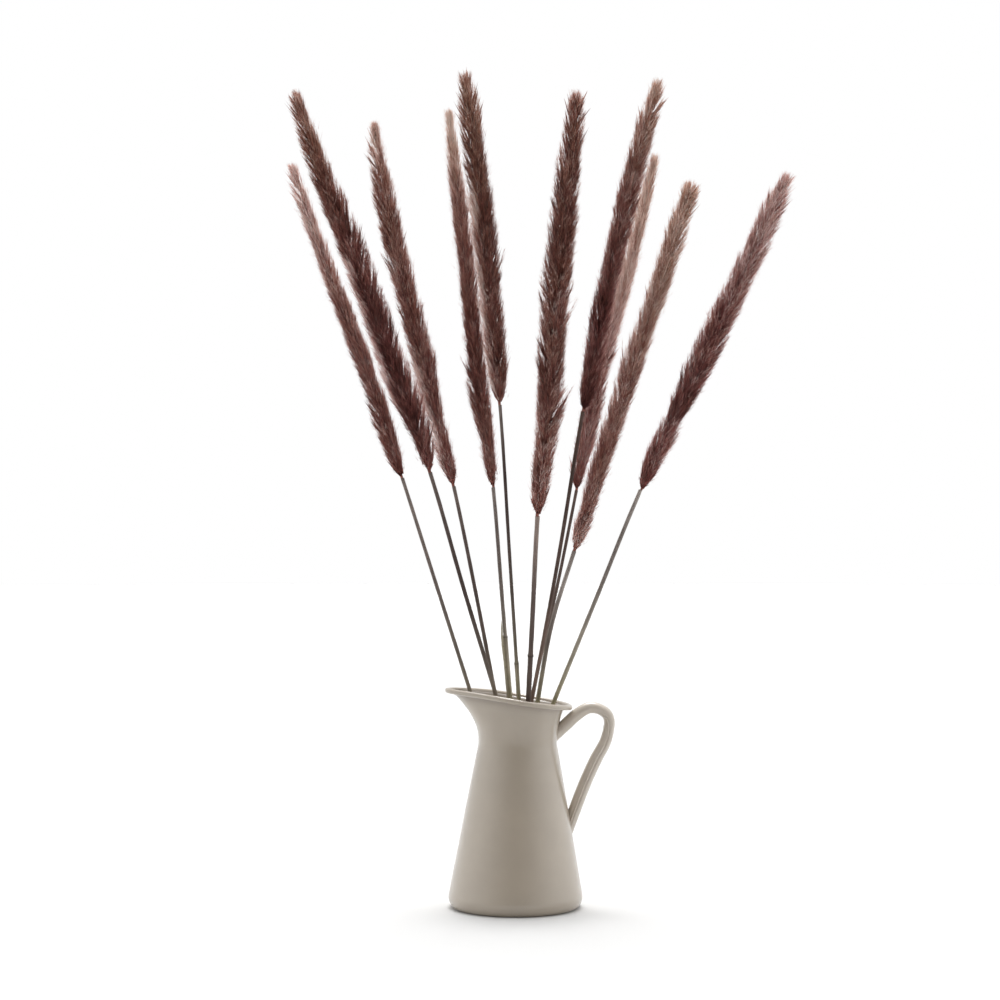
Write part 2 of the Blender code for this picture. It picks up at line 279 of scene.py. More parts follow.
def make_enamel(name, cream, faint):
    """Cream glass over steel: faintly clouded, with a fired coat's soft waves and painted shade
    under the bead.
    """
    material, wire = new_material(name)
    place = wire.node("ShaderNodeTexCoord", output="Object")
    clouds = place.noise(scale=22.0, detail=4.0)
    waves = place.noise(scale=260.0, detail=1.5)
    slow = place.noise(scale=45.0, detail=1.0)
    bump = wire.node(
        "ShaderNodeBump", None,
        {"Strength": 0.12, "Distance": 0.0004, "Height": waves * PEEL_FINE + slow},
    )
    clouding = clouds.stretch(0.38, 0.62) * ENAMEL_CLOUDING
    coat = clouding.blend(colour_of(cream), colour_of(faint))
    # The handle has no such attribute and reads 0: it has no painted shade.
    thin = wire.attribute("thin", "Fac")
    shader = wire.node(
        "ShaderNodeBsdfPrincipled", None,
        {
            "Base Color": thin.blend(coat, colour_of(ENAMEL_PAINTED_SHADE)),
            "Roughness": clouds * 0.12 + 0.30,
            "Specular IOR Level": 0.3,
            "Coat Weight": 1.0,
            "Coat Roughness": 0.25,
            "Coat IOR": 1.75,
            "Normal": bump,
        },
    )
    close_material(wire, shader)
    return material


jug = add_piece(
    "jug_body_enamelled", jug_mesh(), make_enamel("cream enamel", ENAMEL_CREAM, ENAMEL_THIN),
    "cream_enamel", "jug_body", "jug_mouth", "jug_base",
)

# ---- The jug's handle ----
# A hollow handle pressed from sheet: its inner strip laps over the outer one along each side
# of the long leg and leaves a raised seam there. It is welded to the neck and to the belly,
# and enamelled with the jug. Its cream is painted paler than the body's: painted light, for
# the light that falls on it from the right.

# Painted light: these are the body's enamel colours made paler, for the light on the handle.
HANDLE_CREAM_PAINTED_LIGHT = (0.590, 0.518, 0.436)
HANDLE_THIN_PAINTED_LIGHT = (0.512, 0.450, 0.379)
HANDLE_WIDTH = 0.015
HANDLE_LINE = (  # the middle line's (x, z) in the plane of the spout, and half its thickness
    ((0.0668, 0.2362), 0.0081),
    ((0.0790, 0.2470), 0.0079),
    ((0.0978, 0.2564), 0.0073),
    ((0.1100, 0.2540), 0.0070),
    ((0.1190, 0.2475), 0.0070),
    ((0.1220, 0.2385), 0.0071),
    ((0.1211, 0.2282), 0.0072),
    ((0.1179, 0.2153), 0.0076),
    ((0.1044, 0.1895), 0.0081),
    ((0.0870, 0.1510), 0.0081),
    ((0.0805, 0.1340), 0.0081),
)
HANDLE_STEPS = 12
HANDLE_SEGMENTS = 64
# The seam's place across the thickness, from 0 at the inner edge, by the rows of the line.
SEAM_PLACES = ((0, 0.0), (3.2, 0.0), (4.2, 0.22), (6, 0.44), (7.5, 0.48), (10, 0.46))
SEAM_RIDGE, SEAM_GROOVE = 0.0008, 0.0010  # the lap's height, and the depth of its crease
SEAM_SPREAD = 0.055  # half the ridge's breadth, as a part of the handle's thickness
RIDGE_OFF, GROOVE_OFF = -0.4, 1.6  # where they lie beside the seam, in spreads
SEAM_FADE = 0.2  # nearer to the inner edge than this, the seam dies away
WELD_DEPTH = 0.0006  # how far the ends run into the wall


def smooth_line(points, steps):
    """A smooth curve through the points, with this many steps from each to the next."""
    points = [Vector(p) for p in points]
    spans = [(b - a).length for a, b in zip(points, points[1:])]
    slopes = [(b - a) / s for a, b, s in zip(points, points[1:], spans)]
    tangents = [slopes[0]]
    for before, after, near, far in zip(slopes, slopes[1:], spans, spans[1:]):
        tangents.append((before * far + after * near) / (near + far))
    tangents.append(slopes[-1])
    line = [points[0]]
    for i, span in enumerate(spans):
        for step in range(1, steps + 1):
            t = step / steps
            line.append(
                points[i] * (1 + 2 * t) * (1 - t) ** 2
                + tangents[i] * (span * t * (1 - t) ** 2)
                + points[i + 1] * (3 - 2 * t) * t**2
                + tangents[i + 1] * (span * (t - 1) * t**2)
            )
    return line


def read_table(table, at):
    """The value at this place, on straight lines between the (place, value) pairs."""
    places, values = zip(*table)
    return float(np.interp(at, places, values))


def sweep(bm, ring, frames):
    """Extrudes the ring's edges through the frames, from the first frame that it was made in."""
    edges = list({edge for vert in ring for edge in vert.link_edges})
    rings = [ring]
    for before, after in zip(frames, frames[1:]):
        grown = bmesh.ops.extrude_edge_only(bm, edges=edges)["geom"]
        verts = [g for g in grown if isinstance(g, bmesh.types.BMVert)]
        edges = [g for g in grown if isinstance(g, bmesh.types.BMEdge)]
        edges = [e for e in edges if all(v in verts for v in e.verts)]
        bmesh.ops.transform(bm, matrix=after @ before.inverted(), verts=verts)
        rings.append(verts)
    return rings


def seam_shape(across, seam):
    """How far the surface stands out at this part of the thickness, counted from the inner edge."""
    if seam <= 0:
        return 0.0
    off = (across - seam) / SEAM_SPREAD
    ridge = math.exp(-((off - RIDGE_OFF) ** 2)) * SEAM_RIDGE
    groove = math.exp(-((off - GROOVE_OFF) ** 2)) * SEAM_GROOVE
    return (ridge - groove) * min(1.0, seam / SEAM_FADE)


def weld_end(bm, ring, direction, wall):
    """Slides an end ring along the handle until it is just inside the wall all round."""
    for vert in ring:
        place = wall.ray_cast(vert.co, direction)[0]
        vert.co = place + direction * WELD_DEPTH
    bmesh.ops.contextual_create(bm, geom=ring)


def handle_mesh():
    line = smooth_line([(x, 0, z) for (x, z), _ in HANDLE_LINE], HANDLE_STEPS)
    halves = [(i, half) for i, (_, half) in enumerate(HANDLE_LINE)]
    turn = Matrix.Rotation(JUG_TURN, 4, "Z")
    frames = []
    for i, place in enumerate(line):
        along = (line[min(i + 1, len(line) - 1)] - line[max(i - 1, 0)]).normalized()
        outward = along.cross(Vector((0, 1, 0)))
        turned = Matrix((outward, (0, 1, 0), along)).transposed().to_4x4()
        half = read_table(halves, i / HANDLE_STEPS)
        sizes = Matrix.Diagonal((half, HANDLE_WIDTH / 2, 1, 1))
        frames.append(turn @ Matrix.Translation(place) @ turned @ sizes)
    bm = bmesh.new()
    made = bmesh.ops.create_circle(bm, segments=HANDLE_SEGMENTS, radius=1, matrix=frames[0])
    rings = sweep(bm, made["verts"], frames)
    for i, (ring, frame_here) in enumerate(zip(rings, frames)):
        seam = read_table(SEAM_PLACES, i / HANDLE_STEPS)
        middle = frame_here.translation
        for vert in ring:
            outward = (frame_here.inverted() @ vert.co).x
            stand = seam_shape((outward + 1) / 2, seam)
            vert.co += (vert.co - middle).normalized() * stand
    wall = BVHTree.FromObject(jug, bpy.context.evaluated_depsgraph_get())
    weld_end(bm, rings[0], -frames[0].col[2].xyz.normalized(), wall)
    weld_end(bm, rings[-1], frames[-1].col[2].xyz.normalized(), wall)
    return finish_mesh(bm, "jug_handle_enamelled", sharp=60)


add_piece(
    "jug_handle_enamelled", handle_mesh(),
    make_enamel("cream enamel painted lighter", HANDLE_CREAM_PAINTED_LIGHT, HANDLE_THIN_PAINTED_LIGHT),
    "cream_enamel", "jug_handle",
)

# ---- The stems ----
# Ten reed canes, four to six millimetres thick, dried and cut to length. Each has a raised
# node or two, fine grooves along it and, below a node, what is left of the sheath that
# wrapped it. They are red brown under the plume and fade to olive and straw at the foot.

STEM_SLICES = 60  # the level slices by which a packed stem is read
STEM_MARGIN = 0.0015  # how far inside its ends the outermost ones lie
STEM_STEP = 0.007
STEM_SIDES = 18
NODE_HALF = 0.0016  # half the height of the raised ring at a node
NODE_SWELL = 0.26
NODE_RINGS = (-1.6, -1.0, -0.6, -0.25, 0, 0.25, 0.6, 1.0, 1.6)  # in halves of that height
SCAR_DEPTH = 0.55  # how much of its colour the cane loses on the scar just under a node
SCAR_SHARPNESS = 2.2
STEM_DARK = (0.055, 0.033, 0.030)
STEM_PALE = (0.360, 0.314, 0.283)
STEM_OLIVE = (0.320, 0.290, 0.165)
STEM_RED = (0.330, 0.200, 0.155)
OLIVE_LATENESS = 3  # the power by which the olive gathers towards the foot
CANE_FIBRES = 0.03  # a fibre's breadth as a part of its length

# How pale a stem is, in even steps from its plume down to the jug's mouth, the olive at its
# foot and the red all along it, then the heights of its nodes, how much thicker the sheath
# makes it below the first of them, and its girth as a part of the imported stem's.
Stem = namedtuple("Stem", "pale olive red nodes sheath girth")
STEMS = (
    Stem((0.66, 0.65, 0.44, 0.44, 0.46, 0.82), 0.4, 0.10, (0.122,), 0.06, 1.18),
    Stem((0.40, 0.22, 0.08, 0.15, 0.28, 0.80), 0.3, 0.20, (0.161,), 0.05, 1.10),
    Stem((0.52, 0.28, 0.19, 0.22, 0.34, 0.80), 0.4, 0.25, (0.207,), 0.06, 1.10),
    Stem((0.76, 0.38, 0.40, 0.50, 1.25, 1.15), 0.8, 0.00, (0.345, 0.120), 0.16, 1.14),
    Stem((0.55, 0.06, 0.10, 0.18, 0.38, 1.15), 0.8, 0.10, (0.318, 0.096), 0.20, 1.00),
    Stem((0.88, 0.68, 0.28, 0.23, 0.20, 0.17), 0.1, 0.35, (0.328, 0.131), 0.06, 1.10),
    Stem((0.26, 0.10, 0.24, 0.22, 0.54, 0.58), 0.1, 0.70, (0.188,), 0.05, 1.06),
    Stem((0.34, 0.22, 0.24, 0.32, 0.66, 0.52), 0.4, 0.45, (0.232,), 0.06, 1.06),
    Stem((0.62, 1.05, 0.60, 0.36, 0.70, 0.88), 0.8, 0.00, (0.174,), 0.06, 1.14),
    Stem((1.12, 0.60, 0.52, 0.90, 1.10, 1.10), 0.8, 0.00, (0.222,), 0.07, 1.22),
)


def read_tube(solid, slices, margin):
    """A packed tube's middle line and radius, from level slices: two arrays, foot first."""
    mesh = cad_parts[solid].data
    corners = np.array([vert.co for vert in mesh.vertices])
    edges = corners[np.array([edge.vertices for edge in mesh.edges])]
    low, high = corners[:, 2].min(), corners[:, 2].max()
    line, radii = [], []
    for height in np.linspace(low + margin, high - margin, slices):
        near, far = edges[:, 0], edges[:, 1]
        crossing = (near[:, 2] - height) * (far[:, 2] - height) < 0
        near, far = near[crossing], far[crossing]
        share = (height - near[:, 2:]) / (far[:, 2:] - near[:, 2:])
        outline = near + share * (far - near)
        middle = (outline.min(0) + outline.max(0)) / 2
        line.append(middle)
        # A level slice of a leaning tube is an ellipse, and its short half is the radius.
        radii.append(np.linalg.norm(outline - middle, axis=1).min())
    # The line is run on straight to the tube's two ends.
    for end, inner in ((0, 1), (-1, -2)):
        step = (line[end] - line[inner]) / abs(line[end][2] - line[inner][2])
        line[end] = line[end] + step * margin
    return np.array(line), np.array(radii)


def read_stem(number):
    return read_tube(f"reed_{number:02d}_stem", STEM_SLICES, STEM_MARGIN)


def distances(line):
    """How far along the line each of its points is."""
    steps = np.linalg.norm(np.diff(line, axis=0), axis=1)
    return np.concatenate(([0.0], np.cumsum(steps)))


def read_rows(table, places, at):
    """Rows of the table read at other places, on straight lines between its own places."""
    return np.stack([np.interp(at, places, column) for column in table.T], axis=-1)


def tube_frames(line, radii):
    """One matrix for each ring of a tube: its place, its radius and the way that it runs."""
    frames = []
    for i, place in enumerate(line):
        along = Vector(line[min(i + 1, len(line) - 1)]) - Vector(line[max(i - 1, 0)])
        along.normalize()
        side = along.cross(Vector((0, 1, 0))).normalized()
        turned = Matrix((side, along.cross(side), along)).transposed().to_4x4()
        sizes = Matrix.Diagonal((radii[i], radii[i], 1, 1))
        frames.append(Matrix.Translation(place) @ turned @ sizes)
    return frames


def stem_colour(stem, height, top):
    """Red brown to ashy straw by the stem's own table, and olive towards the foot."""
    down = min(1.0, (top - height) / (top - RIM_HEIGHT))
    places = np.linspace(0, 1, len(stem.pale))
    pale = float(np.interp(down, places, stem.pale))
    colour = Vector(STEM_DARK).lerp(Vector(STEM_PALE), pale)
    # Where the cane is dark, its red and its olive are dark too.
    red = Vector(STEM_RED) * (0.1 + 0.9 * pale)
    olive = Vector(STEM_OLIVE) * (0.2 + 0.9 * pale)
    return colour.lerp(red, stem.red).lerp(olive, stem.olive * down**OLIVE_LATENESS)


def scar_shade(place, nodes):
    """1 on the dark scar just under each node, falling to 0 away from it."""
    offs = (SCAR_SHARPNESS * (place - node) / NODE_HALF + 1 for node in nodes)
    return max(math.exp(-(off**2)) for off in offs)


def stem_mesh(number, stem):
    line, radii = read_stem(number)
    places = distances(line)
    heights = line[:, 2]
    nodes = [float(np.interp(height, heights, places)) for height in stem.nodes]
    at = set(np.arange(0, places[-1], STEM_STEP)) | {places[-1]}
    at |= {node + NODE_HALF * offset for node in nodes for offset in NODE_RINGS}
    at = np.array(sorted(at))
    swell = np.full(len(at), stem.girth)
    for node in nodes:
        swell += NODE_SWELL * np.exp(-(((at - node) / NODE_HALF) ** 2))
    swell += stem.sheath * np.clip((nodes[0] - at) / NODE_HALF, 0, 1)
    middles = read_rows(line, places, at)
    widths = np.interp(at, places, radii) * swell
    frames = tube_frames(middles, widths)
    bm = bmesh.new()
    tint = bm.verts.layers.float_color.new("tint")
    grain = bm.verts.layers.float_vector.new("grain")
    made = bmesh.ops.create_circle(bm, segments=STEM_SIDES, radius=1, matrix=frames[0])
    rings = sweep(bm, made["verts"], frames)
    for ring, here, place, middle in zip(rings, frames, at, middles):
        colour = stem_colour(stem, middle[2], heights[-1])
        colour *= 1 - SCAR_DEPTH * scar_shade(place, nodes)
        for vert in ring:
            local = here.inverted() @ vert.co
            vert[tint] = colour_of(colour)
            # The grain is laid out as if the stem were straight and as thick as at its foot.
            vert[grain] = (local.x * widths[0], local.y * widths[0], place)
    for end_ring in (rings[0], rings[-1]):
        bmesh.ops.contextual_create(bm, geom=end_ring)
    return finish_mesh(bm, f"reed_{number:02d}_stem_cane")


def drawn_out(grain, part):
    """The place in the grain with its length cut to this part, which draws noise out along it."""
    sizes = {0: grain, 1: (1.0, 1.0, part)}
    return grain.node("ShaderNodeVectorMath", {"operation": "MULTIPLY"}, sizes)


def make_cane():
    """Dry cane: its own tint, streaked along the fibres and grooved a little."""
    material, wire = new_material("dry cane")
    tint = wire.attribute("tint", "Color")
    grain = wire.attribute("grain", "Vector")
    fibres = drawn_out(grain, CANE_FIBRES).noise(scale=1500.0, detail=3.0)
    blotches = grain.noise(scale=55.0, detail=3.0)
    streak = fibres.stretch(0.35, 0.65)
    shade = streak * 0.45 + blotches * 0.7 + 0.42
    toned = wire.node("ShaderNodeVectorMath", {"operation": "SCALE"}, {0: tint, "Scale": shade})
    grooves = {"Strength": 0.5, "Distance": 0.0002, "Height": fibres}
    shader = wire.node(
        "ShaderNodeBsdfPrincipled", None,
        {
            "Base Color": toned,
            "Roughness": streak * 0.15 + 0.5,
            "IOR": 1.25,
            "Normal": wire.node("ShaderNodeBump", None, grooves),
        },
    )
    close_material(wire, shader)
    return material


cane = make_cane()
for number, stem in enumerate(STEMS, start=1):
    solid = f"reed_{number:02d}_stem"
    add_piece(f"{solid}_cane", stem_mesh(number, stem), cane, "dry_stem", solid)

# ---- The loose leaf sheath ----
# What is left of a leaf on the fourth reed: a thin, papery strip that clasps the stem at its
# foot and stands off it above, cupped, with a torn edge and a frayed tip.

LEAF_REED = 4
# How far off the stem's middle line the leaf stands, and half its width, both by height.
LEAF_LINE = ((0.215, 0.0042), (0.275, 0.0046), (0.308, 0.0050), (0.344, 0.0061), (0.366, 0.0044))
LEAF_HALF_WIDTHS = ((0.215, 0.0028), (0.335, 0.0026), (0.356, 0.0017), (0.366, 0.0004))
LEAF_CUP = 0.32  # how far its edges curl towards the stem, as a part of its half width
LEAF_SIDE = Vector((-0.78, -0.62, 0))  # the side of the stem that it hangs on
LEAF_THICKNESS = 0.00022
LEAF_STEPS = 22
LEAF_COLUMNS = 8
LEAF_SEED = 44
LEAF_TEAR = 0.16  # the deepest tear in its edges, as a part of its half width
TEAR_RARENESS = 3  # the power by which most of the edge stays nearly whole
LEAF_VEINS = 0.04  # a vein's breadth as a part of its length
LEAF_GLOW = 0.4
STRAW_PALE = (0.46, 0.42, 0.31)
STRAW_DARK = (0.15, 0.12, 0.07)
STRAW_LIT = (0.42, 0.37, 0.26)


def leaf_mesh():
    stem_line, _ = read_stem(LEAF_REED)
    side = LEAF_SIDE.normalized()
    edgewise = side.cross(Vector((0, 0, 1)))
    line = smooth_line([(height, 0, off) for height, off in LEAF_LINE], LEAF_STEPS)
    rng = np.random.default_rng(LEAF_SEED)
    tears = 1 - LEAF_TEAR * rng.random((len(line), 2)) ** TEAR_RARENESS
    bm = bmesh.new()
    grain = bm.verts.layers.float_vector.new("grain")
    rows = []
    for (height, _, off), tear in zip(line, tears):
        half = read_table(LEAF_HALF_WIDTHS, height)
        middle = Vector(read_rows(stem_line, stem_line[:, 2], height)) + side * off
        row = []
        for column in range(LEAF_COLUMNS + 1):
            across = 2 * column / LEAF_COLUMNS - 1
            reach = across * half * tear[int(across > 0)]
            curl = LEAF_CUP * half * across**2
            vert = bm.verts.new(middle + edgewise * reach - side * curl)
            vert[grain] = (reach, curl, height)
            row.append(vert)
        rows.append(row)
    for row, above in zip(rows, rows[1:]):
        for k in range(LEAF_COLUMNS):
            bm.faces.new((row[k], row[k + 1], above[k + 1], above[k]))
    bmesh.ops.solidify(bm, geom=bm.faces[:], thickness=LEAF_THICKNESS)
    return finish_mesh(bm, "reed_04_leaf_straw", sharp=60)


def close_thin(wire, shell, part, lit):
    """Closes a fine piece's material: this part of the light comes through, in this colour."""
    glow = wire.node("ShaderNodeBsdfTranslucent", None, {"Color": colour_of(lit)})
    close_material(wire, wire.node("ShaderNodeMixShader", None, {0: part, 1: shell, 2: glow}))


def make_straw():
    """Bleached, half transparent skin with its veins along it and small dark specks."""
    material, wire = new_material("papery straw")
    grain = wire.attribute("grain", "Vector")
    stain = drawn_out(grain, LEAF_VEINS).noise(scale=1300.0, detail=3.0).stretch(0.35, 0.7)
    speck = grain.noise(scale=320.0, detail=2.0).stretch(0.60, 0.68)
    veined = (stain * 0.45).blend(colour_of(STRAW_PALE), colour_of(STRAW_DARK))
    marked = (speck * 0.8).blend(veined, colour_of(STEM_DARK))
    shell = wire.node(
        "ShaderNodeBsdfPrincipled", None, {"Base Color": marked, "Roughness": stain * 0.1 + 0.6}
    )
    close_thin(wire, shell, LEAF_GLOW, STRAW_LIT)
    return material


add_piece("reed_04_leaf_straw", leaf_mesh(), make_straw(), "papery_straw", "reed_04_leaf")

# ---- The plumes ----
# The reeds' flower heads, dried and dyed: some hundreds of branchlets pressed up along each
# rachis, and every one of them hung with silky hairs and a few dark spikelets. The branchlets'
# tips make the saw-toothed outline, and the outermost hairs let the light through.

PLUME_SEED = 700
PLUME_SLICES = 70
PLUME_MARGIN = 0.003
RACHIS_TIP = 0.0004  # its radius there
RACHIS_SHADE, RACHIS_HUE = 0.4, 0.5
LEFT, RIGHT = math.pi, 0.0  # round the plume, as the arrangement is seen from its front

TUFTS_PER_AREA = 13700  # on each square metre of the plume's surface
TUFT_LENGTH = 0.046
TUFT_SPREAD, TUFT_LIMITS = 0.14, (0.6, 1.4)  # of the branchlets' lengths, as parts of it
TUFT_TURN = math.radians(137.5)  # from each branchlet to the next, round the rachis
TURN_SPREAD = 0.35
TUFT_DRIFT = 0.22  # how far round the plume a branchlet wanders on its way out
TUFT_BOW = 1.35  # how much sooner than a straight one a branchlet reaches the plume's surface
TIP_SHORT, TIP_REACH = 0.45, 0.08  # branchlets shorten to this part over the last 8 cm
LOWEST_ENDS = (0.008, 0.020)  # how far above the plume's foot its first branchlets end
FOOT_GAP = 0.004
CROWN = 9  # branchlets that end together in the plume's rounded tip
SKIN = 0.0002  # the hairs' tips stand this much further out than the branchlets
GIRTH_SPREAD = 0.07
LEAST_REACH, LEAST_SWAYED = 0.0008, 0.0006  # the least that a branchlet stands off the line
FOOT_REACH, FOOT_SLOPE = 0.0014, 0.32  # the plume swells out of its stem no faster than this
BASE_TAPER, BASE_SHAG = 0.035, 0.35  # below this height it is less shaggy, down to this part
STALK_JOINTS = (0.0, 0.3, 0.62, 1.0)
STALK_RADII = (0.00035, 0.00028, 0.0002)
STALK_SHADE = -0.12
SPUR_LENGTH, SPUR_BOW = 0.055, 1.15  # the long branchlets that stand out by themselves

# Kinds of slivers on a branchlet: how many, between which parts of its length, how they lean
# out from it (mean and spread) and turn aside, their lengths and radius, how far beside it
# they root, and how much lighter than it they and their tips are. The darker core and locks
# are painted shade, and the paler fringe and tips partly painted light.
Growth = namedtuple("Growth", "count span lean turn lengths radius root shade tip_shade")
CORE = Growth(3, (0.00, 0.50), (0.00, 0.03), 0.05, (0.022, 0.032), 0.00125, 0.0013, -0.24, 0.04)
LOCKS = Growth(5, (0.15, 0.64), (0.02, 0.05), 0.12, (0.012, 0.018), 0.00060, 0.0024, -0.20, 0.12)
HAIRS = Growth(23, (0.15, 1.00), (0.13, 0.14), 0.34, (0.0065, 0.013), 0.00020, 0.0033, -0.12, 0.28)
FRINGE = Growth(10, (0.40, 1.00), (0.36, 0.20), 0.45, (0.008, 0.014), 0.00018, 0.0035, 0.04, 0.34)
SPIKELETS = Growth(2, (0.35, 1.00), (0.26, 0.14), 0.20, (0.0035, 0.005), 0.0004, 0.0009, -0.30, 0.0)

TO_TIP, PAST_TIP = 0.9, (0.001, 0.008)  # hairs end this part of the way to the tip, and so far on
HAIR_TAPER = 0.3  # the part of their length that hairs lose at a branchlet's end
ROOT_SHADE, OUTWARD_SHADE = -0.17, 0.40  # at a branchlet's root, and its rise outwards: painted shade towards the core, painted light towards the outline
TONE_SPREAD, HUE_SPREAD, HAIR_SPREAD = 0.12, 0.10, 0.09
RADIUS_LIMITS = (0.75, 1.25)
# A sliver's corners lie this far apart on its map, so that none of its faces is empty.
MAP_ACROSS = (-0.004, 0.004, 0.0)
MAP_UP = (-0.004, -0.002, 0.005)

SHADES_ROSY = (  # from the shaded core's colour to the pale tips', partly painted shade and painted light
    (0.00, (0.037, 0.011, 0.011)),
    (0.25, (0.148, 0.0455, 0.0425)),
    (0.50, (0.350, 0.129, 0.118)),
    (0.75, (0.610, 0.372, 0.345)),
    (1.00, (0.980, 0.890, 0.870)),
)
SHADES_TAN = (
    (0.00, (0.038, 0.015, 0.010)),
    (0.25, (0.146, 0.061, 0.036)),
    (0.50, (0.345, 0.163, 0.098)),
    (0.75, (0.610, 0.408, 0.292)),
    (1.00, (0.960, 0.885, 0.780)),
)
FLUFF_TURN = 0.22  # a pale side faces a little forwards; its paleness is partly pale hair, partly painted light
FLUFF_NARROWNESS = 3.6
FLUFF_FADE = 0.004  # how slowly it sets in along the plume
HAIR_LIT = (0.92, 0.63, 0.58)
HAIR_GLOW = 0.34

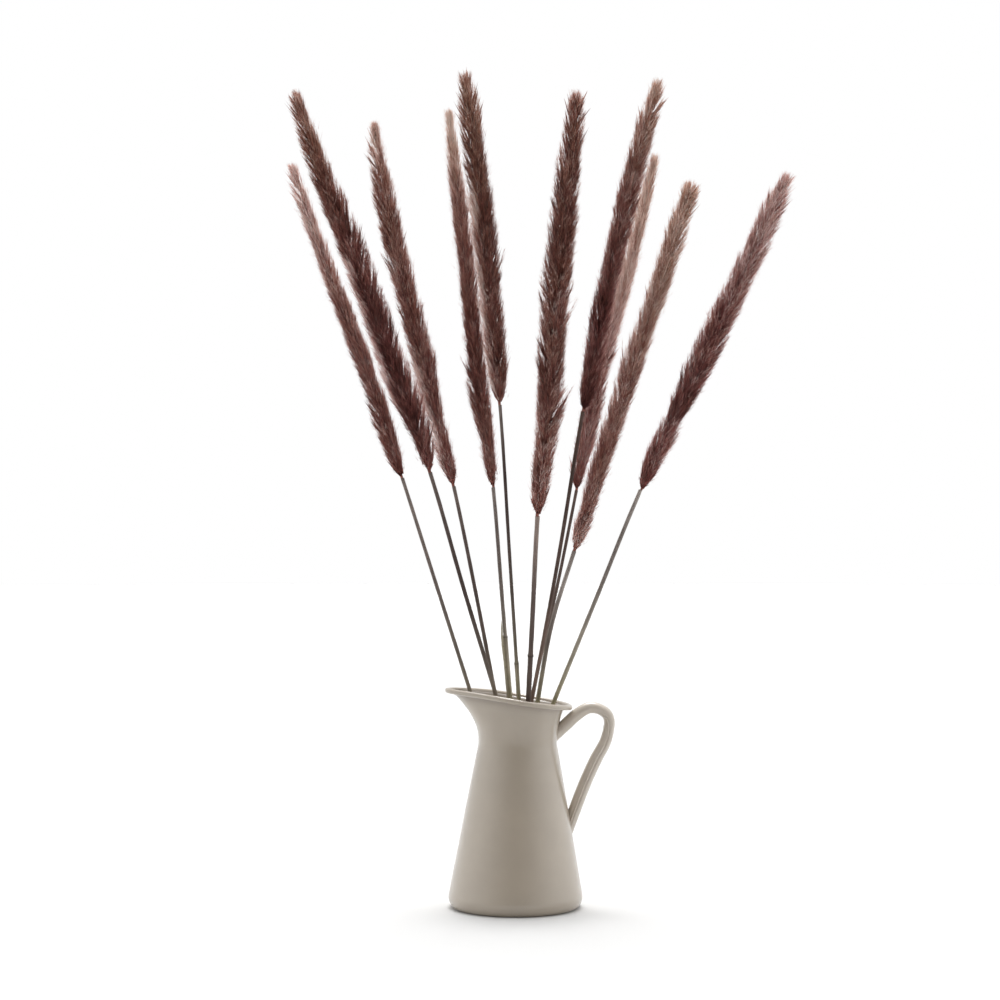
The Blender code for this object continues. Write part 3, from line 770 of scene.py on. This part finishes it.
# By the place along the plume, from 0 at its foot to 1 at its tip: its tones, its hues from
# rosy to tan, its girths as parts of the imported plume's, and its sway to the right in metres.
# A spur is (place, side, how far out), a fluff is (from, to, side, how pale), and the crown is
# the length of the rounded tip.
Plume = namedtuple("Plume", "tones hues girths sway spurs fluff crown", defaults=((), (), 0.012))
PLUMES = (
    Plume(
        ((0, 0.56), (0.2, 0.5), (0.5, 0.6), (0.65, 0.76), (0.8, 0.94), (0.9, 1.08), (1, 1.15)),
        ((0, 0.3), (1, 0.4)),
        ((0, 1.05), (0.08, 1.15), (0.14, 1.12), (0.2, 1.05), (0.35, 0.95), (0.43, 1.08), (0.8, 0.9),
         (0.93, 1.1)),
        ((0.09, -0.002), (0.3, -0.002), (0.52, 0.0016), (0.75, 0.0018), (0.94, -0.0045),
         (1, -0.002)),
    ),
    Plume(
        ((0, 0.54), (0.1, 0.4), (0.2, 0.28), (0.35, 0.22), (0.5, 0.36), (0.8, 0.46), (1, 0.73)),
        ((0, 0.2), (0.4, 0.1), (0.7, 0.4), (0.85, 0.7), (1, 0.75)),
        ((0, 1), (0.09, 1.05), (0.2, 1.3), (0.27, 1.35), (0.36, 1.08), (0.75, 1.05), (0.8, 0.93),
         (1, 1)),
        ((0, 0.001), (0.05, 0.0055), (0.12, 0.0095), (0.2, 0.006), (0.27, 0.002), (0.45, 0.005),
         (0.65, 0.006), (0.8, -0.0012), (0.94, -0.0038), (1, 0)),
        fluff=((0.20, 0.60, LEFT, 1.6), (0.14, 0.36, RIGHT, 0.6)),
        crown=0.014,
    ),
    Plume(
        ((0, 0.56), (0.2, 0.57), (0.35, 0.46), (0.5, 0.51), (0.65, 0.62), (0.8, 0.57), (0.88, 0.68),
         (1, 1.05)),
        ((0, 0.2), (0.5, 0.4), (1, 0.65)),
        ((0, 1.05), (0.05, 1.25), (0.12, 1.05), (0.2, 0.65), (0.27, 1), (0.36, 1.1), (0.52, 0.88),
         (0.8, 1.1), (0.93, 0.85)),
        ((0.05, 0), (0.1, -0.0035), (0.17, -0.001), (0.27, -0.003), (0.36, 0.0015), (0.6, 0.0016),
         (0.79, -0.001), (0.94, -0.0055), (1, -0.001)),
        ((0.24, RIGHT, 0.003), (0.65, LEFT, 0.005)),
        ((0.06, 0.38, LEFT, 1.3),),
    ),
    Plume(
        ((0, 0.7), (0.2, 0.46), (0.35, 0.35), (0.5, 0.47), (0.65, 0.58), (0.8, 0.7), (0.9, 1.05),
         (1, 1.45)),
        ((0, 0.3), (0.6, 0.4), (0.8, 0.5), (0.9, 0.9), (1, 0.95)),
        ((0, 1.1), (0.14, 0.95), (0.2, 1.08), (0.27, 1.28), (0.36, 1), (0.5, 0.93), (0.8, 1.03),
         (0.93, 0.83)),
        ((0, -0.0006), (0.14, 0), (0.2, -0.002), (0.27, -0.0028), (0.36, 0.001), (0.61, 0.002),
         (0.87, -0.0015), (1, -0.001)),
        ((0.35, LEFT, 0.010),),
    ),
    Plume(
        ((0, 0.74), (0.1, 0.56), (0.2, 0.37), (0.35, 0.48), (0.5, 0.38), (0.65, 0.35), (0.8, 0.5),
         (1, 0.83)),
        ((0, 0.4), (0.5, 0.45), (0.8, 0.8), (1, 0.95)),
        ((0, 1), (0.14, 1.04), (0.35, 0.94), (0.5, 1.05), (0.65, 1.07), (0.8, 1), (0.9, 1.12),
         (1, 1)),
        ((0, 0), (0.14, 0.0015), (0.43, 0.0012), (0.61, -0.0006), (0.79, -0.0025), (0.94, 0.0006),
         (1, -0.0015)),
        ((0.47, RIGHT, 0.007), (0.65, RIGHT, 0.003)),
        ((0.06, 0.70, LEFT, 1.1),),
    ),
    Plume(
        ((0, 0.66), (0.2, 0.67), (0.35, 0.46), (0.5, 0.53), (0.65, 0.42), (0.8, 0.38), (1, 0.72)),
        ((0, 0.3), (0.5, 0.45), (1, 0.65)),
        ((0, 1.2), (0.2, 0.98), (0.27, 1.1), (0.4, 1), (0.55, 1.07), (0.72, 1.06), (0.87, 0.94),
         (1, 1.02)),
        ((0.09, 0), (0.2, 0.002), (0.27, 0.0033), (0.36, -0.0022), (0.52, -0.0043), (0.68, -0.0004),
         (0.87, -0.0016), (0.94, 0.0016), (1, -0.002)),
        ((0.52, RIGHT, 0.009), (0.32, RIGHT, 0.012), (0.30, RIGHT, 0.007)),
        crown=0.014,
    ),
    Plume(
        ((0, 0.16), (0.2, 0.45), (0.35, 0.3), (0.5, 0.55), (0.65, 0.52), (0.8, 0.67), (0.9, 0.8),
         (1, 1.12)),
        ((0, 0.1), (0.4, 0.1), (0.7, 0.45), (1, 0.95)),
        ((0, 1), (0.2, 0.92), (0.4, 0.88), (0.52, 0.92), (0.65, 1.05), (0.8, 0.97), (1, 1)),
        ((0, 0.0013), (0.2, 0.0025), (0.3, -0.001), (0.55, 0.0005), (0.87, -0.001), (0.94, 0.0022),
         (1, 0)),
    ),
    Plume(
        ((0, 0.66), (0.2, 0.72), (0.35, 0.66), (0.5, 1.0), (0.65, 1.03), (1, 1.12)),
        ((0, 0.1), (0.4, 0.2), (0.8, 0.8), (1, 0.95)),
        ((0, 1.1), (0.2, 1), (0.5, 1), (0.65, 1.1), (0.8, 1.1), (1, 1.03)),
        ((0, -0.001), (0.07, -0.005), (0.14, 0), (0.3, 0.002), (0.43, 0.0015), (0.52, -0.002),
         (0.75, -0.0055), (0.87, -0.003), (1, -0.001)),
        fluff=((0.42, 0.97, LEFT, 0.45),),
    ),
    Plume(
        ((0, 1.1), (0.15, 0.68), (0.35, 0.7), (0.5, 0.74), (0.65, 0.85), (0.8, 0.88), (1, 1.02)),
        ((0, 0.35), (0.5, 0.5), (0.7, 0.8), (1, 1)),
        ((0, 1.15), (0.2, 1), (0.35, 1.12), (0.52, 1.1), (0.65, 0.9), (0.8, 0.96), (0.93, 1.05)),
        ((0.14, 0), (0.2, -0.003), (0.28, -0.0038), (0.4, -0.0025), (0.52, -0.0037), (0.7, -0.0006),
         (0.82, 0), (0.94, 0.0026), (1, 0.003)),
        ((0.55, LEFT, 0.006), (0.59, RIGHT, 0.002)),
        crown=0.014,
    ),
    Plume(
        ((0, 0.56), (0.2, 0.65), (0.3, 0.38), (0.5, 0.61), (0.65, 0.69), (0.8, 0.8), (0.9, 0.94),
         (1, 1.1)),
        ((0, 0.1), (0.6, 0.15), (1, 0.25)),
        ((0, 1), (0.1, 1.1), (0.2, 1), (0.25, 0.5), (0.29, 0.88), (0.36, 1.05), (0.5, 1),
         (0.65, 0.9), (0.8, 0.94), (0.93, 1)),
        ((0, -0.0006), (0.09, -0.003), (0.2, -0.0015), (0.27, -0.0035), (0.36, -0.002),
         (0.52, -0.003), (0.7, -0.002), (0.79, 0.0003), (0.94, 0), (1, 0.0005)),
        ((0.48, RIGHT, 0.003), (0.12, RIGHT, 0.004)),
    ),
)


def unit(vectors):
    return vectors / np.linalg.norm(vectors, axis=-1, keepdims=True)


class Slivers:
    """Closed three-sided slivers, as hairs are, gathered as arrays and joined into one mesh."""

    def __init__(self, rng):
        self.rng = rng
        self.points, self.faces, self.maps, self.count = [], [], [], 0

    def add(self, middles, radii, shades, hues):
        """Grows n slivers through (n, k + 1) middles. They have k rings and end in a point."""
        number, steps = middles.shape[:2]
        rings = steps - 1
        along = unit(middles[:, -1] - middles[:, 0])
        side = unit(np.cross(along, self.rng.normal(size=along.shape)))
        other = np.cross(along, side)
        turns = math.tau * np.arange(3)[:, None] / 3
        spokes = np.cos(turns) * side[:, None] + np.sin(turns) * other[:, None]
        corners = middles[:, :-1, None] + radii[:, :, None, None] * spokes[:, None]
        points = np.concatenate([corners.reshape(number, -1, 3), middles[:, -1:]], axis=1)
        ring = np.arange(rings - 1)[:, None] * 3
        here, after = np.arange(3), (np.arange(3) + 1) % 3
        lower = np.stack([ring + here, ring + after, ring + after + 3], axis=-1)
        upper = np.stack([ring + here, ring + after + 3, ring + here + 3], axis=-1)
        last = 3 * (rings - 1)
        tip = np.stack([last + here, last + after, np.full(3, last + 3)], axis=-1)
        faces = np.concatenate([[[0, 2, 1]], lower.reshape(-1, 3), upper.reshape(-1, 3), tip])
        size = points.shape[1]
        starts = self.count + size * np.arange(number)[:, None, None]
        u = np.concatenate([np.repeat(shades[:, :-1], 3, axis=1), shades[:, -1:]], axis=1)
        v = np.repeat(hues[:, None], size, axis=1)
        spread = np.append(np.tile(MAP_ACROSS, rings), 0.0)
        lift = np.append(np.tile(MAP_UP, rings), 0.0)
        self.points.append(points.reshape(-1, 3))
        self.faces.append((starts + faces).reshape(-1, 3))
        self.maps.append(np.stack([u + spread, v + lift], axis=-1).reshape(-1, 2))
        self.count += number * size

    def mesh(self, name):
        faces = np.concatenate(self.faces)
        mesh = bpy.data.meshes.new(name)
        mesh.from_pydata(np.concatenate(self.points).tolist(), [], faces.tolist())
        uv_map = mesh.uv_layers.new(name="OFBake")
        corners = np.concatenate(self.maps).clip(0.01, 0.99)[faces.ravel()]
        uv_map.data.foreach_set("uv", corners.ravel())
        return mesh


class Rachis:
    """A plume's middle line and outline, with its places counted along it in metres."""

    def __init__(self, solid, girths):
        self.line, self.radii = read_tube(solid, PLUME_SLICES, PLUME_MARGIN)
        self.places = distances(self.line)
        self.length = self.places[-1]
        self.radii *= self.read(girths, self.places)
        along = unit(np.gradient(self.line, axis=0))
        # Angles count from +X, which is the right-hand side seen from the front.
        side = unit(np.cross(np.cross(along, (1.0, 0.0, 0.0)), along))
        self.ways = np.concatenate([along, side, np.cross(along, side)], axis=1)

    def read(self, table, places):
        """The table's values at these places, which it counts from 0 to 1."""
        at, values = zip(*table)
        return np.interp(places / self.length, at, values)

    def radius(self, places):
        return np.interp(places, self.places, self.radii)

    def spots(self, places, angles, outs):
        """Points this far along, round and out from the line, with the three ways there."""
        middles = read_rows(self.line, self.places, places)
        along, side, other = np.split(read_rows(self.ways, self.places, places), 3, axis=-1)
        outward = np.cos(angles)[..., None] * side + np.sin(angles)[..., None] * other
        return middles + outs[..., None] * outward, along, outward


def tuft_layout(rng, rachis, crown):
    """Where the branchlets end, spread evenly over the plume: places, angles and lengths."""
    steps = np.diff(rachis.places)
    areas = math.tau * steps * (rachis.radii[1:] + rachis.radii[:-1]) / 2
    number = int(areas.sum() * TUFTS_PER_AREA)
    shares = np.concatenate(([0.0], np.cumsum(areas))) / areas.sum()
    at = (np.arange(number) + rng.random(number)) / number
    ends = np.interp(at, shares, rachis.places)
    ends = np.maximum(ends, rng.uniform(*LOWEST_ENDS, number))
    ends = np.concatenate([ends, rachis.length - crown * rng.random(CROWN)])
    number += CROWN
    angles = np.arange(number) * TUFT_TURN + rng.normal(0, TURN_SPREAD, number)
    near_tip = TIP_SHORT + (1 - TIP_SHORT) * np.clip((rachis.length - ends) / TIP_REACH, 0, 1)
    lengths = TUFT_LENGTH * near_tip * rng.normal(1, TUFT_SPREAD, number).clip(*TUFT_LIMITS)
    return ends, angles, np.minimum(lengths, ends - FOOT_GAP)


def grow_tufts(slivers, rachis, plume, ends, angles, lengths, stands, bow):
    """Adds these branchlets with their hairs and spikelets. Every array has one row a tuft."""
    rng = slivers.rng
    number = len(ends)
    widest = rachis.radius(np.minimum(ends, rachis.length - plume.crown))
    rounded = np.clip((rachis.length - ends) / plume.crown, 0, 1)
    widest = widest * np.sqrt(1 - (1 - rounded) ** 2) * rng.normal(1.0, GIRTH_SPREAD, number)
    reach = np.clip(widest - SKIN, LEAST_REACH, FOOT_REACH + FOOT_SLOPE * ends) + stands
    reach = np.maximum(reach + rachis.read(plume.sway, ends) * np.cos(angles), LEAST_SWAYED)
    grown = np.clip(ends / BASE_TAPER, BASE_SHAG, 1)[:, None]
    drift = rng.normal(0, TUFT_DRIFT, number)
    hue = rachis.read(plume.hues, ends) + rng.normal(0, HUE_SPREAD, number)
    hue = hue.clip(0.03, 0.97)
    tone = rachis.read(plume.tones, ends) + rng.normal(0, TONE_SPREAD, number)
    # A fluffy side is lifted paler: partly its own pale hair, partly painted light, for the light
    # through its sparse hairs.
    for start, stop, side, lift in plume.fluff:
        turned = FLUFF_NARROWNESS * np.cos(angles - side - FLUFF_TURN) - (FLUFF_NARROWNESS - 1)
        part = ends / rachis.length
        inside = (part - start) * (stop - part) / FLUFF_FADE
        tone += lift * np.clip(turned, 0, 1) * np.clip(inside, 0, 1)

    def path(t):
        """Points on each branchlet at these parts of its length, which has one column each."""
        places = (ends - lengths)[:, None] + lengths[:, None] * t
        outs = reach[:, None] * (1 - (1 - t) ** bow)
        return rachis.spots(places, angles[:, None] + drift[:, None] * t, outs)

    stalks, _, _ = path(np.tile(STALK_JOINTS, (number, 1)))
    dark = np.tile(tone[:, None] + STALK_SHADE, (1, len(STALK_JOINTS)))
    slivers.add(stalks, np.tile(STALK_RADII, (number, 1)), dark, hue)

    def dress(kind):
        """Hangs slivers of this kind on each branchlet."""
        t = rng.uniform(*kind.span, (number, kind.count))
        roots, along, outward = path(t)
        sideways = np.cross(along, outward)
        slope = (reach / lengths)[:, None] * bow * (1 - t) ** (bow - 1)
        lean = (slope + rng.normal(*kind.lean, t.shape) * grown)[..., None]
        turn = rng.normal(0, kind.turn, t.shape)[..., None]
        ways = unit(along + lean * outward + turn * sideways)
        left = rachis.length - (ends - lengths)[:, None] - lengths[:, None] * t
        long = rng.uniform(*kind.lengths, t.shape) * (1 - HAIR_TAPER * t**3) * grown
        long = np.minimum(long, rng.uniform(*PAST_TIP, t.shape) + TO_TIP * left)
        roots = roots + sideways * (rng.normal(0, kind.root, t.shape) * grown)[..., None]
        # The hair's own tone, with painted shade near the rachis and painted light towards the
        # outline.
        shade = tone[:, None] + t * OUTWARD_SHADE + ROOT_SHADE + kind.shade
        shade += rng.normal(0, HAIR_SPREAD, t.shape)
        shades = np.stack([shade, shade + rng.uniform(0, kind.tip_shade, t.shape)], axis=-1)
        middles = np.stack([roots, roots + ways * long[..., None]], axis=-2)
        middles = middles.reshape(-1, 2, 3)
        radii = kind.radius * rng.uniform(*RADIUS_LIMITS, (len(middles), 1))
        slivers.add(middles, radii, shades.reshape(-1, 2), np.repeat(hue, kind.count))

    for kind in (CORE, LOCKS, HAIRS, FRINGE, SPIKELETS):
        dress(kind)


def plume_mesh(number, plume):
    solid = f"reed_{number:02d}_plume"
    slivers = Slivers(np.random.default_rng(PLUME_SEED + number))
    rachis = Rachis(solid, plume.girths)
    _, stem_radii = read_stem(number)
    taper = np.linspace(stem_radii[-1], RACHIS_TIP, PLUME_SLICES - 1)
    shades = np.full((1, PLUME_SLICES), RACHIS_SHADE)
    slivers.add(rachis.line[None], taper[None], shades, np.array([RACHIS_HUE]))
    ends, angles, lengths = tuft_layout(slivers.rng, rachis, plume.crown)
    grow_tufts(slivers, rachis, plume, ends, angles, lengths, 0.0, TUFT_BOW)
    if plume.spurs:
        places, angles, stands = map(np.array, zip(*plume.spurs))
        ends = places * rachis.length
        lengths = np.minimum(SPUR_LENGTH, ends - FOOT_GAP)
        grow_tufts(slivers, rachis, plume, ends, angles, lengths, stands + SKIN, SPUR_BOW)
    return slivers.mesh(f"{solid}_hair")


def make_hair():
    """Dyed silk: the map's first axis is the shade and its second runs from rosy to tan."""
    material, wire = new_material("plume hair")
    place = wire.node("ShaderNodeUVMap", {"uv_map": "OFBake"})
    shade, hue = place.axis("X"), place.axis("Y")
    rosy = wire.node("ShaderNodeValToRGB", {"stops": SHADES_ROSY}, {"Fac": shade})
    tan = wire.node("ShaderNodeValToRGB", {"stops": SHADES_TAN}, {"Fac": shade})
    shell = wire.node(
        "ShaderNodeBsdfPrincipled", None,
        {"Base Color": hue.blend(rosy, tan), "Roughness": 0.8, "IOR": 1.04},
    )
    close_thin(wire, shell, HAIR_GLOW, HAIR_LIT)
    return material


hair = make_hair()
for number, plume in enumerate(PLUMES, start=1):
    solid = f"reed_{number:02d}_plume"
    add_piece(f"{solid}_hair", plume_mesh(number, plume), hair, "plume_hair", solid)

# ---- The studio ----
# The jug stands on a wide sheet of white paper inside a white light tent, which is brightest
# high up and a little behind, and dimmest in front. A long lens looks at it level from -Y.

FLOOR_RADIUS = 12
PAPER_SEEN = (0.67, 0.67, 0.667)
# What the paper throws back on the object grows from the front to the jug's foot: painted
# shade, as its colour for all but camera rays darkens towards the front.
BOUNCE_STARTS, BOUNCE_ENDS = -2.0, -0.1
BOUNCE_LOW, BOUNCE_HIGH = 0.25, 0.62
KEY_BEHIND, KEY_ABOVE = 0.292, 0.956  # the way to the tent's brightest spot
KEY_TIGHTNESS = 30
KEY_LIGHT, RIGHT_LIGHT, LEFT_LIGHT, TENT_LIGHT = 15.2, 0.50, 0.35, 0.8
FRONT_LOSS = 0.72
LENS = 86.5
CAMERA_PLACE = (-0.020, -3.1, 0.525)
WHITE = (1, 1, 1, 1)

floor_mesh = bpy.data.meshes.new("floor")
bm = bmesh.new()
bmesh.ops.create_circle(bm, cap_ends=True, segments=64, radius=FLOOR_RADIUS)
bm.to_mesh(floor_mesh)
bm.free()
floor = bpy.data.objects.new("floor", floor_mesh)
bpy.context.scene.collection.objects.link(floor)
paper, wire = new_material("white paper floor")
place = wire.node("ShaderNodeTexCoord", output="Object")
bounce = place.axis("Y").stretch(BOUNCE_STARTS, BOUNCE_ENDS, BOUNCE_LOW, BOUNCE_HIGH)
seen_paper = wire.node("ShaderNodeBsdfDiffuse", None, {"Color": colour_of(PAPER_SEEN)})
dim_paper = wire.node("ShaderNodeBsdfDiffuse", None, {"Color": bounce})
direct = wire.node("ShaderNodeLightPath", output="Is Camera Ray")
close_material(
    wire, wire.node("ShaderNodeMixShader", None, {0: direct, 1: dim_paper, 2: seen_paper})
)
floor_mesh.materials.append(paper)

world = bpy.data.worlds.new("light tent")
bpy.context.scene.world = world
world.use_nodes = True
world.node_tree.nodes.clear()
sky = Wire(world.node_tree)
way = sky.node("ShaderNodeTexCoord", output="Generated")
side, depth, height = way.axis("X"), way.axis("Y"), way.axis("Z")
key = (depth * KEY_BEHIND + height * KEY_ABOVE).stretch(0.0, 1.0)
right = side.stretch(0.0, 1.0)
left = side.stretch(0.0, -1.0)
front = depth.stretch(0.0, -1.0)
tent = key**KEY_TIGHTNESS * KEY_LIGHT + right**2 * RIGHT_LIGHT + left**2 * LEFT_LIGHT
tent = tent - front**2 * FRONT_LOSS + TENT_LIGHT
lit = sky.node("ShaderNodeBackground", None, {"Color": WHITE, "Strength": tent})
seen = sky.node("ShaderNodeBackground", None, {"Color": WHITE, "Strength": 1.0})
ray = sky.node("ShaderNodeLightPath", output="Is Camera Ray")
mixed = sky.node("ShaderNodeMixShader", None, {0: ray, 1: lit, 2: seen})
sky.node("ShaderNodeOutputWorld", None, {"Surface": mixed})

camera_data = bpy.data.cameras.new("camera")
camera_data.sensor_width = 36
camera_data.lens = LENS
camera = bpy.data.objects.new("camera", camera_data)
camera.location = CAMERA_PLACE
camera.rotation_euler = (math.pi / 2, 0, 0)
bpy.context.scene.collection.objects.link(camera)
bpy.context.scene.camera = camera
bpy.context.scene.view_settings.view_transform = "Standard"
